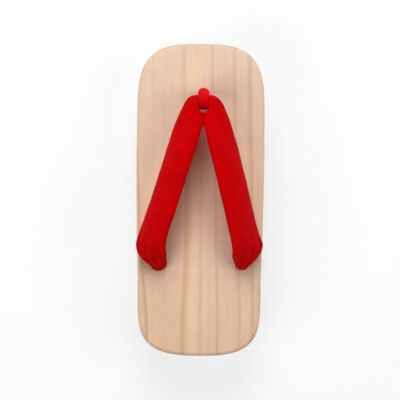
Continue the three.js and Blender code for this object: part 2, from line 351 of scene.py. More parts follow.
class Graph:
    """A node tree with short calls for adding and joining its nodes."""

    def __init__(self, tree: bpy.types.NodeTree) -> None:
        """Keeps the tree to build in."""
        self.tree = tree

    def node(self, kind: str, inputs: dict[Any, Any] | None = None, **settings: Any) -> bpy.types.Node:
        """Adds a node.

        Args:
            kind: The node's type name, without its ShaderNode prefix.
            inputs: Values for its inputs; a socket is joined and anything else is set.
            **settings: Values for its own properties.

        Returns:
            The new node.
        """
        made = self.tree.nodes.new("ShaderNode" + kind)
        for key, value in settings.items():
            setattr(made, key, value)
        for key, value in (inputs or {}).items():
            if isinstance(value, bpy.types.NodeSocket):
                self.tree.links.new(value, made.inputs[key])
            else:
                made.inputs[key].default_value = value
        return made

    def math(self, operation: str, *values: Any, clamp: bool = False) -> bpy.types.NodeSocket:
        """Adds a Math node and returns its result."""
        made = self.node("Math", dict(enumerate(values)), operation=operation, use_clamp=clamp)
        return made.outputs[0]

    def span(
        self,
        value: bpy.types.NodeSocket,
        low: float,
        high: float,
        to_low: float = 0.0,
        to_high: float = 1.0,
        smooth: bool = True,
    ) -> bpy.types.NodeSocket:
        """Maps a value from one range to another, held at its ends.

        Args:
            value: The value to map.
            low: Where the first range starts.
            high: Where the first range ends.
            to_low: What low becomes.
            to_high: What high becomes.
            smooth: Whether the ends ease in.

        Returns:
            The mapped value.
        """
        made = self.node("MapRange", {0: value, 1: low, 2: high, 3: to_low, 4: to_high}, clamp=True)
        made.interpolation_type = "SMOOTHSTEP" if smooth else "LINEAR"
        return made.outputs[0]

    def stretch(self, vector: bpy.types.NodeSocket, scale: Sequence[float]) -> bpy.types.NodeSocket:
        """Multiplies a vector by a scale along each axis."""
        made = self.node("VectorMath", {0: vector, 1: tuple(scale)}, operation="MULTIPLY")
        return made.outputs[0]

    def speckle(
        self, vector: bpy.types.NodeSocket, scale: float, detail: float = 3.0, rough: float = 0.5
    ) -> bpy.types.NodeSocket:
        """Adds a noise in space.

        Args:
            vector: Where to read it.
            scale: Its scale, in waves a metre.
            detail: How many finer layers it has.
            rough: How strong the finer layers are.

        Returns:
            The noise's value, about 0.5.
        """
        made = self.node("TexNoise", {"Vector": vector, "Scale": scale, "Detail": detail, "Roughness": rough})
        return made.outputs[0]

    def bands(self, place: bpy.types.NodeSocket, scale: float, detail: float = 2.0) -> bpy.types.NodeSocket:
        """Adds a noise that changes along one value only.

        Args:
            place: The value that it changes along.
            scale: Its scale, in waves a unit.
            detail: How many finer layers it has.

        Returns:
            The noise's value, about 0.5.
        """
        made = self.node("TexNoise", noise_dimensions="1D")
        self.tree.links.new(place, made.inputs["W"])
        made.inputs["Scale"].default_value = scale
        made.inputs["Detail"].default_value = detail
        return made.outputs[0]

    def blend(self, share: Any, first: Any, second: Any, mode: str = "MIX") -> bpy.types.NodeSocket:
        """Mixes two colours by a share.

        Args:
            share: How much of the second is taken.
            first: The first colour, or its socket.
            second: The second colour, or its socket.
            mode: How they are mixed.

        Returns:
            The mixed colour.
        """
        made = self.node("Mix", data_type="RGBA", blend_type=mode)
        for index, value in ((0, share), (6, first), (7, second)):
            if isinstance(value, bpy.types.NodeSocket):
                self.tree.links.new(value, made.inputs[index])
            elif index == 0:
                made.inputs[index].default_value = value
            else:
                made.inputs[index].default_value = (*value, 1.0)
        return made.outputs[2]


class EffectGroup:
    """A shader node group with named inputs and outputs."""

    def __init__(self, name: str, inputs: dict[str, Any], outputs: dict[str, str]) -> None:
        """Starts the group.

        Args:
            name: The group's name.
            inputs: Each input's name and its first value: a number or a colour.
            outputs: Each output's name and its socket type.
        """
        self.tree = bpy.data.node_groups.new(name, "ShaderNodeTree")
        for key, value in inputs.items():
            kind = "NodeSocketFloat" if isinstance(value, float) else "NodeSocketColor"
            socket = self.tree.interface.new_socket(key, in_out="INPUT", socket_type=kind)
            socket.default_value = value if isinstance(value, float) else (*value, 1.0)
        for key, kind in outputs.items():
            self.tree.interface.new_socket(key, in_out="OUTPUT", socket_type=kind)
        self.graph = Graph(self.tree)
        self.source = self.tree.nodes.new("NodeGroupInput")
        self.result = self.tree.nodes.new("NodeGroupOutput")

    def give(self, name: str, socket: bpy.types.NodeSocket) -> None:
        """Joins a socket to one of the group's outputs."""
        self.tree.links.new(socket, self.result.inputs[name])

    def place(self, graph: Graph, values: dict[str, Any]) -> bpy.types.Node:
        """Puts the group into a material.

        Args:
            graph: The material's graph.
            values: Values for the group's inputs.

        Returns:
            The group's node.
        """
        made = graph.tree.nodes.new("ShaderNodeGroup")
        made.node_tree = self.tree
        for key, value in values.items():
            made.inputs[key].default_value = value if isinstance(value, float) else (*value, 1.0)
        return made


def pile_group() -> EffectGroup:
    """Builds the short cloth pile: its soft patches of brushed nap and its fine nub.

    Returns:
        The group, with a colour and a height.
    """
    group = EffectGroup(
        "short_pile",
        {"Deep": linear(150, 2, 6), "Bright": linear(215, 8, 14), "Patch": 120.0, "Nub": 2600.0},
        {"Color": "NodeSocketColor", "Height": "NodeSocketFloat"},
    )
    g, source = group.graph, group.source.outputs
    place = g.node("TexCoord").outputs["Object"]
    patch = g.node("TexNoise", {"Vector": place, "Scale": source["Patch"], "Detail": 4.0, "Roughness": 0.6})
    nub = g.node("TexNoise", {"Vector": place, "Scale": source["Nub"], "Detail": 2.0, "Roughness": 0.7})
    nap = g.span(patch.outputs[0], 0.3, 0.7)
    fleck = g.span(nub.outputs[0], 0.3, 0.72)
    share = g.math("MULTIPLY_ADD", fleck, 0.6, g.math("MULTIPLY", nap, 0.4))
    group.give("Color", g.blend(share, source["Deep"], source["Bright"]))
    group.give("Height", g.math("MULTIPLY_ADD", fleck, 0.7, g.math("MULTIPLY", nap, 0.3)))
    return group


def handling_group() -> EffectGroup:
    """Builds the faint unevenness that handling leaves: a mask used by the cloth, the cotton and the wood.

    Returns:
        The group, with a mask about one half.
    """
    group = EffectGroup(
        "handling",
        {"Broad": 18.0, "Fine": 240.0, "Fine share": 0.3},
        {"Mask": "NodeSocketFloat"},
    )
    g, source = group.graph, group.source.outputs
    place = g.node("TexCoord").outputs["Object"]
    broad = g.node("TexNoise", {"Vector": place, "Scale": source["Broad"], "Detail": 3.0})
    fine = g.node("TexNoise", {"Vector": place, "Scale": source["Fine"], "Detail": 2.0})
    shares = {0: source["Fine share"], 2: broad.outputs[0], 3: fine.outputs[0]}
    mixed = g.node("Mix", shares, data_type="FLOAT")
    group.give("Mask", g.span(mixed.outputs[0], 0.25, 0.75))
    return group


# ---------------------------------------------------------------- finishes


def fresh_material(name: str) -> tuple[bpy.types.Material, Graph, bpy.types.Node]:
    """Starts a material with a Principled shader.

    Args:
        name: The material's name.

    Returns:
        The material, its graph and its shader node.
    """
    material = bpy.data.materials.new(name)
    material.use_nodes = True
    tree = material.node_tree
    tree.nodes.clear()
    graph = Graph(tree)
    shader = graph.node("BsdfPrincipled")
    output = graph.node("OutputMaterial")
    tree.links.new(shader.outputs[0], output.inputs[0])
    return material, graph, shader


@dataclass(frozen=True)
class ThongCloth:
    """Red short-pile cloth: deep, matt, and a little brighter where the nap stands up, with a painted
    highlight round the toe knot and painted shade on the rear ends' sideways and downward faces.
    """

    name: str = "red_pile_cloth"
    deep: Colour = (0.47, 0.0002, 0.0013)
    bright: Colour = (0.72, 0.0006, 0.0026)
    glow: Colour = (1.0, 0.02, 0.035)
    # Painted highlight: a brighter red painted round the knot where the thong meets the toe band.
    painted_highlight: Colour = (0.75, 0.003, 0.008)
    painted_highlight_place: tuple[float, float, float] = (0.0019, 0.083, 0.071)
    painted_highlight_reach: tuple[float, float] = (0.015, 0.005)
    # Painted shade: a dark red painted on the rear ends' faces that turn sideways and down.
    painted_shade: Colour = (0.13, 0.0002, 0.001)
    painted_shade_place: tuple[float, float] = (-0.036, -0.041)
    patch: float = 90.0
    sheen: float = 0.08
    sheen_rough: float = 0.4
    gloss: float = 0.2
    rough: tuple[float, float] = (0.78, 0.95)
    nub_depth: float = 0.00025

    def build(self, pile: EffectGroup, handling: EffectGroup) -> bpy.types.Material:
        """Builds the material.

        Args:
            pile: The pile's group.
            handling: The handling mask's group.

        Returns:
            The material.
        """
        material, g, shader = fresh_material(self.name)
        nap = pile.place(g, {"Deep": self.deep, "Bright": self.bright, "Patch": self.patch})
        worn = handling.place(g, {"Broad": 45.0, "Fine": 500.0, "Fine share": 0.4})
        links = g.tree.links
        place = g.node("TexCoord").outputs["Object"]
        # Painted highlight: the cloth near the toe knot is painted brighter, standing in for the toe lamp's
        # gleam.
        off = g.node("VectorMath", {0: place, 1: self.painted_highlight_place}, operation="DISTANCE").outputs["Value"]
        highlight_share = g.span(off, *self.painted_highlight_reach)
        colour = g.blend(highlight_share, nap.outputs["Color"], self.painted_highlight)
        # Painted shade: the rear ends are painted darker where their faces turn sideways and down.
        rear = g.span(g.node("SeparateXYZ", {0: place}).outputs[1], *self.painted_shade_place)
        normal = g.node("SeparateXYZ", {0: g.node("NewGeometry").outputs["Normal"]})
        painted_shade = g.math("MULTIPLY", rear, g.span(normal.outputs[2], 0.42, 0.0, 0.0, 0.8))
        links.new(g.blend(painted_shade, colour, self.painted_shade), shader.inputs["Base Color"])
        links.new(g.span(worn.outputs["Mask"], 0, 1, *self.rough), shader.inputs["Roughness"])
        bump = g.node(
            "Bump", {"Height": nap.outputs["Height"], "Strength": 0.6, "Distance": self.nub_depth}
        )
        links.new(bump.outputs[0], shader.inputs["Normal"])
        shader.inputs["Specular IOR Level"].default_value = self.gloss
        shader.inputs["Specular Tint"].default_value = (*self.glow, 1.0)
        shader.inputs["Sheen Weight"].default_value = self.sheen
        shader.inputs["Sheen Roughness"].default_value = self.sheen_rough
        shader.inputs["Sheen Tint"].default_value = (*self.glow, 1.0)
        return material


@dataclass(frozen=True)
class PaleWood:
    """Planed straight-grained wood, with its growth lines placed one by one."""

    name: str = "pale_wood"
    # Painted light: the toe tone is painted lighter and the heel tone darker, standing in for light falling
    # from the toe side.
    toe: Colour = linear(232, 205, 180)
    heel: Colour = linear(226, 190, 161)
    rose: Colour = linear(235, 201, 178)
    straw: Colour = linear(235, 206, 174)
    line: Colour = (0.87, 0.815, 0.775)
    ochre: Colour = (0.875, 0.73, 0.60)
    end: Colour = linear(205, 166, 128)
    half_length: float = 117.5
    top: float = 48.0
    ring_lean: float = 0.16
    ring_bow: float = 0.0035
    ring_wander: float = 1.8
    rough: tuple[float, float] = (0.55, 0.68)
    gloss: float = 0.3
    fibre_depth: float = 0.0003

    def build(self, handling: EffectGroup) -> bpy.types.Material:
        """Builds the material.

        Args:
            handling: The handling mask's group.

        Returns:
            The material.
        """
        material, g, shader = fresh_material(self.name)
        place = g.node("TexCoord").outputs["Object"]
        split = g.node("SeparateXYZ", {0: g.stretch(place, (1000, 1000, 1000))})
        x, y, z = split.outputs
        along = g.span(y, self.half_length, -self.half_length, smooth=False)
        wander = g.speckle(g.stretch(place, (1.0, 0.25, 0.8)), 34.0, 2.0, 0.4)
        ring = self.ring_place(g, x, z, wander)
        fibre = g.speckle(g.stretch(place, (1.0, 0.02, 1.0)), 1500.0, 3.0, 0.6)
        colour = self.ground(g, ring, along)
        colour, lines = self.growth_lines(g, colour, ring, y, fibre)
        colour = g.blend(g.span(fibre, 0.4, 0.8, 0.0, 0.45), colour, self.line, "MULTIPLY")
        worn = handling.place(g, {"Broad": 55.0, "Fine": 260.0, "Fine share": 0.35})
        colour = g.blend(g.span(worn.outputs["Mask"], 0, 1, 0.0, 0.3), colour, self.line, "MULTIPLY")
        colour = self.end_grain(g, colour, fibre, ring)
        links = g.tree.links
        links.new(colour, shader.inputs["Base Color"])
        links.new(g.span(worn.outputs["Mask"], 0, 1, *self.rough), shader.inputs["Roughness"])
        height = g.math("MULTIPLY_ADD", lines, -0.5, g.math("MULTIPLY", fibre, 0.8))
        bump = g.node("Bump", {"Height": height, "Strength": 0.35, "Distance": self.fibre_depth})
        links.new(bump.outputs[0], shader.inputs["Normal"])
        shader.inputs["Specular IOR Level"].default_value = self.gloss
        return material

    def ring_place(self, g: Graph, x: Any, z: Any, wander: Any) -> bpy.types.NodeSocket:
        """Gives each point's place across the growth rings, which lean and curve with depth.

        Args:
            g: The material's graph.
            x: Millimetres across.
            z: Millimetres up.
            wander: A slow noise that bends the lines.

        Returns:
            The place across the rings, in millimetres.
        """
        depth = g.math("SUBTRACT", self.top - 1.0, z)
        lean = g.math("MULTIPLY", depth, self.ring_lean)
        bow = g.math("MULTIPLY", g.math("MULTIPLY", depth, depth), self.ring_bow)
        bent = g.math("MULTIPLY", g.math("SUBTRACT", wander, 0.5), self.ring_wander)
        return g.math("ADD", g.math("ADD", x, bent), g.math("ADD", lean, bow))

    def ground(self, g: Graph, ring: Any, along: Any) -> bpy.types.NodeSocket:
        """Mixes the wood's pale ground: a toe end painted lighter and a heel end painted darker, standing in
        for light from the toe side, with rose and straw bands.

        Args:
            g: The material's graph.
            ring: The place across the rings.
            along: Share of the way from toe to heel.

        Returns:
            The colour.
        """
        # painted light: the ground is lighter at the toe end and darker at the heel end
        colour = g.blend(along, self.toe, self.heel)
        broad = g.bands(ring, 0.07, 1.0)
        colour = g.blend(g.span(broad, 0.5, 0.75, 0.0, 0.8), colour, self.rose)
        colour = g.blend(g.span(broad, 0.5, 0.25, 0.0, 0.8), colour, self.straw)
        fine = g.bands(ring, 0.22, 3.0)
        return g.blend(g.span(fine, 0.45, 0.8, 0.0, 0.16), colour, self.line, "MULTIPLY")

    def growth_lines(
        self, g: Graph, colour: Any, ring: Any, y: Any, fibre: Any
    ) -> tuple[bpy.types.NodeSocket, bpy.types.NodeSocket]:
        """Draws the listed growth lines, each fading out on its two sides.

        Args:
            g: The material's graph.
            colour: The colour under them.
            ring: The place across the rings.
            y: Millimetres along, to the toe.
            fibre: The fibre noise, which breaks the lines up.

        Returns:
            The colour with its lines, and their mask.
        """
        broken = g.span(fibre, 0.15, 0.75, 0.75, 1.1, smooth=False)
        total: Any = 0.0
        for line in GRAIN_LINES:
            ahead = g.span(y, 100.0, -20.0, line.toe, line.middle)
            behind = g.span(y, -20.0, -100.0, 0.0, line.heel - line.middle)
            off = g.math("SUBTRACT", ring, g.math("ADD", ahead, behind))
            rise = g.span(off, -line.left, 0.0)
            fall = g.span(off, line.right, 0.0)
            strength = g.span(y, 85.0, -45.0, line.toe_strength, line.heel_strength)
            mask = g.math("MULTIPLY", g.math("MULTIPLY", rise, fall), strength)
            mask = g.math("MULTIPLY", mask, broken, clamp=True)
            tint = tuple(a + (b - a) * line.ochre for a, b in zip(self.line, self.ochre))
            colour = g.blend(mask, colour, tint, "MULTIPLY")
            total = g.math("ADD", total, mask)
        return colour, total

    def end_grain(self, g: Graph, colour: Any, fibre: Any, ring: Any) -> bpy.types.NodeSocket:
        """Darkens the faces that look to the toe or the heel, where the fibres are cut across.

        Args:
            g: The material's graph.
            colour: The colour so far.
            fibre: The fibre noise.
            ring: The place across the rings.

        Returns:
            The colour.
        """
        normal = g.node("SeparateXYZ", {0: g.node("NewGeometry").outputs["Normal"]})
        facing = g.span(g.math("ABSOLUTE", normal.outputs[1]), 0.55, 0.95)
        rings = g.span(g.bands(ring, 0.9, 2.0), 0.35, 0.7, 0.0, 0.8)
        cut = g.blend(rings, self.end, self.line, "MULTIPLY")
        cut = g.blend(g.span(fibre, 0.4, 0.8, 0.0, 0.5), cut, self.line, "MULTIPLY")
        return g.blend(g.math("MULTIPLY", facing, 0.7), colour, cut)


@dataclass(frozen=True)
class CottonCord:
    """Undyed twisted cotton."""

    name: str = "undyed_cotton"
    deep: Colour = linear(192, 174, 146)
    bright: Colour = linear(236, 224, 202)
    rough: float = 0.92
    sheen: float = 0.1
    nub_depth: float = 0.0002

    def build(self, pile: EffectGroup, handling: EffectGroup) -> bpy.types.Material:
        """Builds the material.

        Args:
            pile: The pile's group.
            handling: The handling mask's group.

        Returns:
            The material.
        """
        material, g, shader = fresh_material(self.name)
        nap = pile.place(g, {"Deep": self.deep, "Bright": self.bright, "Patch": 300.0, "Nub": 4200.0})
        worn = handling.place(g, {"Broad": 60.0, "Fine": 700.0, "Fine share": 0.5})
        links = g.tree.links
        colour = g.blend(g.span(worn.outputs["Mask"], 0, 1, 0.0, 0.3), nap.outputs["Color"], self.deep)
        links.new(colour, shader.inputs["Base Color"])
        bump = g.node("Bump", {"Height": nap.outputs["Height"], "Strength": 0.7, "Distance": self.nub_depth})
        links.new(bump.outputs[0], shader.inputs["Normal"])
        shader.inputs["Roughness"].default_value = self.rough
        shader.inputs["Sheen Weight"].default_value = self.sheen
        return material


@dataclass(frozen=True)
class StudioPaper:
    """The pale matt sheet that the sandal stands on, lit a little from below as a light table is."""

    name: str = "studio_paper"
    light: Colour = (0.335, 0.335, 0.335)
    shade: Colour = (0.325, 0.325, 0.325)
    glow: float = 0.671
    glow_tone: Colour = (0.945, 0.976, 1.0)
    rough: float = 0.95
    gloss: float = 0.05

    def build(self) -> bpy.types.Material:
        """Builds the material.

        Returns:
            The material.
        """
        material, g, shader = fresh_material(self.name)
        place = g.node("TexCoord").outputs["Object"]
        tone = g.blend(g.span(g.speckle(place, 3.0), 0.3, 0.7), self.light, self.shade)
        g.tree.links.new(tone, shader.inputs["Base Color"])
        shader.inputs["Roughness"].default_value = self.rough
        shader.inputs["Specular IOR Level"].default_value = self.gloss
        shader.inputs["Emission Color"].default_value = (*self.glow_tone, 1.0)
        shader.inputs["Emission Strength"].default_value = self.glow
        return material


# ---------------------------------------------------------------- the block


@dataclass
class CapShape:
    """One rounded end of the plan outline."""

    start: float
    side: float
    along: float
    across: float


@dataclass
class SoleBlock:
    """The wooden block: footbed, board and two teeth, cut from one piece, with three holes."""

    length: float = 235.0
    top: float = 48.0
    sag: float = 1.6
    edge_round: float = 3.0
    taper: float = 2.0
    board_bottom: float = 30.0
    toe_bottom: float = 35.5
    heel_bottom: float = 33.5
    splay: float = 1.5
    fillet: float = 6.0
    chamfer: float = 1.2
    heel_tooth: tuple[float, float] = (-85.0, -60.0)
    toe_tooth: tuple[float, float] = (41.0, 66.0)
    cutter_half: float = 60.0
    fillet_steps: int = 12
    hole_radii: tuple[float, ...] = (4.4, 4.7, 4.7)
    hole_sides: int = 48
    soften: float = 0.7
    toe_cap: CapShape = field(default_factory=lambda: CapShape(50, 48.1, 4.4, 3.15))
    heel_cap: CapShape = field(default_factory=lambda: CapShape(-60, 46.4, 5, 2.8))
    side: tuple[tuple[float, float], ...] = ((50, 48.1), (35, 48.25), (10, 48.1), (-25, 47.6), (-60, 46.4))
    holes: tuple[tuple[float, float], ...] = ((1.9, 77.5), (-30.2, -48.5), (32.4, -47.5))
    cap_steps: int = 34
    edge_steps: int = 8

    def footbed(self, y: float) -> float:
        """Gives the dipped footbed's height at a place along it."""
        share = min(abs(y), self.length / 2) / (self.length / 2)
        return self.top - self.sag * math.cos(share * math.pi / 2) ** 2

    def half_outline(self) -> list[tuple[float, float]]:
        """Gives the right half of the plan outline, from the toe tip to the heel tip.

        Returns:
            The points.
        """

        def cap(shape: CapShape, reach: float, step: int) -> tuple[float, float]:
            """Gives one point of a rounded end.

            Args:
                shape: The end's shape.
                reach: How far the tip stands off the end's start.
                step: The point's number, from the tip.

            Returns:
                The point.
            """
            angle = math.pi / 2 * (step / self.cap_steps) ** 1.25
            return (
                shape.side * math.sin(angle) ** (2 / shape.across),
                shape.start + reach * math.cos(angle) ** (2 / shape.along),
            )

        half = self.length / 2
        points = [cap(self.toe_cap, half - self.toe_cap.start, i) for i in range(self.cap_steps)]
        steps = 6
        for (y0, w0), (y1, w1) in zip(self.side, self.side[1:]):
            points += [(w0 + (w1 - w0) * i / steps, y0 + (y1 - y0) * i / steps) for i in range(steps)]
        points.append((self.side[-1][1], self.side[-1][0]))
        heel = [cap(self.heel_cap, -half - self.heel_cap.start, i) for i in range(self.cap_steps)]
        points += reversed(heel)
        return points

    def outline(self, inset: float) -> np.ndarray:
        """Gives the whole outline drawn in by a distance.

        Args:
            inset: How far it is drawn in.

        Returns:
            The points, clockwise from the toe tip.
        """
        half = np.array(self.half_outline())
        mirror_in = np.array([[-half[1, 0], half[1, 1]]])
        mirror_out = np.array([[-half[-2, 0], half[-2, 1]]])
        padded = np.concatenate([mirror_in, half, mirror_out])
        along = padded[2:] - padded[:-2]
        along /= np.linalg.norm(along, axis=1, keepdims=True)
        moved = half + np.column_stack([along[:, 1], -along[:, 0]]) * inset
        moved[:, 0] = np.maximum(moved[:, 0], 0)
        moved[[0, -1], 0] = 0
        back = moved[1:-1][::-1] * (-1, 1)
        return np.concatenate([moved, back])

    def blank(self) -> bpy.types.Object:
        """Builds the block before its teeth are cut.

        Returns:
            The block.
        """

        def ring(inset: float, level: Callable[[float], float]) -> Ring:
            """Gives one level's ring of points."""
            flat = self.outline(inset)
            return np.column_stack([flat, [level(y) for y in flat[:, 1]]])

        rings = [ring(self.taper, lambda y: -2.0), ring(self.edge_round * 0.1, lambda y: self.top * 0.55)]
        for i in range(self.edge_steps + 1):
            angle = math.pi / 2 * i / self.edge_steps
            drop = self.edge_round * (1 - math.sin(angle))
            inset = self.edge_round * (1 - math.cos(angle))
            rings.append(ring(inset, lambda y, drop=drop: self.footbed(y) - drop))
        made = new_object("block", *skin(rings))
        facing_out(made)
        return made

    def tooth_side(self, y: float, face: int) -> list[tuple[float, float]]:
        """Gives one side of a tooth, from its root to the ground, with its fillet.

        Args:
            y: Where the side stands.
            face: Which way it looks: 1 to the toe, -1 to the heel.

        Returns:
            The points, each as its place along and its height.
        """
        points = []
        for i in range(self.fillet_steps + 1):
            angle = math.pi / 2 * i / self.fillet_steps
            out = y + face * self.fillet * (1 - math.sin(angle))
            points.append((out, self.board_bottom - self.fillet * (1 - math.cos(angle))))
        points.append((y + face * self.splay, self.chamfer))
        points.append((y + face * (self.splay - self.chamfer), 0.0))
        return points

    def underside(self) -> bpy.types.Object:
        """Builds the side view of the underside, run across the block, to cut it with.

        Returns:
            The cutter.
        """
        reach = self.length / 2 + 5
        profile = [
            (-reach, self.top + 20),
            (-reach, self.heel_bottom),
            *self.tooth_side(self.heel_tooth[0], -1),
            *reversed(self.tooth_side(self.heel_tooth[1], 1)),
            *self.tooth_side(self.toe_tooth[0], -1),
            *reversed(self.tooth_side(self.toe_tooth[1], 1)),
            (reach, self.toe_bottom),
            (reach, self.top + 20),
        ]
        count = len(profile)
        verts = [(side * self.cutter_half, y, z) for side in (-1, 1) for y, z in profile]
        faces: list[tuple[int, ...]] = [tuple(range(count)), tuple(reversed(range(count, 2 * count)))]
        faces += [(i, i + count, (i + 1) % count + count, (i + 1) % count) for i in range(count)]
        made = new_object("underside", np.array(verts), faces)
        facing_out(made)
        return made

    def drill(self, x: float, y: float, size: float) -> bpy.types.Object:
        """Builds one hole's drill, flared a little at the footbed.

        Args:
            x: The hole's place across.
            y: The hole's place along.
            size: The hole's radius.

        Returns:
            The drill.
        """
        deck = self.footbed(y)
        levels = ((-5.0, 0.0), (deck - 0.6, 0.0), (deck + 0.1, 0.15), (deck + 8, 0.15))
        turn = np.linspace(0, 2 * math.pi, self.hole_sides, endpoint=False)
        rings = []
        for z, more in levels:
            radius = size + more
            ring = [x + radius * np.cos(turn), y + radius * np.sin(turn), np.full(self.hole_sides, z)]
            rings.append(np.column_stack(ring))
        made = new_object("drill", *skin(rings))
        facing_out(made)
        return made

    def build(self, wood: bpy.types.Material) -> bpy.types.Object:
        """Builds and dresses the block.

        Args:
            wood: Its finish.

        Returns:
            The block.
        """
        block = self.blank()
        cutters = [(self.underside(), "INTERSECT")]
        cutters += [(self.drill(*p, r), "DIFFERENCE") for p, r in zip(self.holes, self.hole_radii)]
        for cutter, operation in cutters:
            cut = block.modifiers.new("cut", "BOOLEAN")
            cut.operation = operation
            cut.solver = "EXACT"
            cut.object = cutter
        soften = block.modifiers.new("soften", "BEVEL")
        soften.width = self.soften * MM
        soften.segments = 3
        soften.limit_method = "ANGLE"
        soften.angle_limit = math.radians(32)
        apply_modifiers(block)
        for cutter, _ in cutters:
            bpy.data.objects.remove(cutter)
        block.data.shade_smooth()
        block.data.set_sharp_from_angle(angle=math.radians(38))
        block.name = "wooden_block"
        block.data.materials.clear()
        block.data.materials.append(wood)
        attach(block, "root")
        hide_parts("sole_block")
        log.info("wooden block: %d faces", len(block.data.polygons))
        return block


# ---------------------------------------------------------------- lofted cloth pieces


@dataclass
class Pillow:
    """The soft oblong section of a stuffed tube."""

    power: float = 2.4
    top: float = 0.56

    def points(
        self, width: float, thick: float, turn: np.ndarray, square: float = 1.0
    ) -> tuple[np.ndarray, np.ndarray]:
        """Gives the section's points.

        Args:
            width: Its flat width.
            thick: Its thickness.
            turn: The angles round it, from the inner edge over the crown.
            square: How oblong it is, from 0, an ellipse, to 1.

        Returns:
            How far each point is across, and how far up.
        """
        c, s = np.cos(turn), np.sin(turn)
        share = np.where(s > 0, 0.5 + (self.top - 0.5) * square, 0.5 - (self.top - 0.5) * square)
        power = 2 + (self.power - 2) * square
        across = width / 2 * np.sign(c) * np.abs(c) ** (2 / power)
        up = thick * share * np.sign(s) * np.abs(s) ** (2 / power)
        return across, up


def crease_depth(creases: Sequence[Crease], row: float, degrees: np.ndarray) -> np.ndarray:
    """Adds up the listed folds at one station.

    Args:
        creases: The folds.
        row: The station's row number.
        degrees: The angles round the section.

    Returns:
        How far each point moves out, in millimetres.
    """
    total = np.zeros_like(degrees)
    for fold in creases:
        along = (row - fold.row) / fold.reach
        if abs(along) > 2.2:
            continue
        off = (degrees - fold.angle - fold.lean * (row - fold.row) + 180) % 360 - 180
        across = off / fold.width
        trough = -np.exp(-(across**2))
        ridges = 0.45 * (np.exp(-((across - 1.9) ** 2)) + np.exp(-((across + 1.9) ** 2)))
        total += fold.depth * math.exp(-(along**2)) * (trough + ridges)
    return total


def pressed(points: np.ndarray, other: BVHTree, gap: float, soft: float = 0.7) -> np.ndarray:
    """Pushes points out of another piece, so that a soft piece gives way round it.

    Args:
        points: The soft piece's points.
        other: The other piece's faces.
        gap: The least distance left between the two.
        soft: How far off the points start to give way.

    Returns:
        The points, moved.
    """
    moved = points.copy()
    for i, point in enumerate(points):
        spot, facing, _, _ = other.find_nearest(Vector(point), 8.0)
        if spot is None:
            continue
        off = (Vector(point) - spot).dot(facing)
        if off < gap + soft:
            kept = gap + soft * math.exp((off - gap - soft) / soft)
            moved[i] = spot + facing * kept
    return moved


def loft_ring(
    centre: np.ndarray,
    offsets: tuple[np.ndarray, np.ndarray],
    axes: tuple[np.ndarray, np.ndarray],
    size: tuple[float, float],
) -> tuple[Ring, np.ndarray]:
    """Sets one section of a stuffed tube in its place.

    Args:
        centre: The section's middle.
        offsets: How far each point is across, and how far up.
        axes: The directions across and up.
        size: The section's width and thickness.

    Returns:
        The ring's points, and the direction that each one swells in.
    """
    across, up = (offset[:, None] for offset in offsets)
    points = centre + across * axes[0] + up * axes[1]
    out = across * axes[0] / (size[0] / 2) ** 2 + up * axes[1] / (size[1] / 2) ** 2
    return points, out / np.linalg.norm(out, axis=1, keepdims=True)


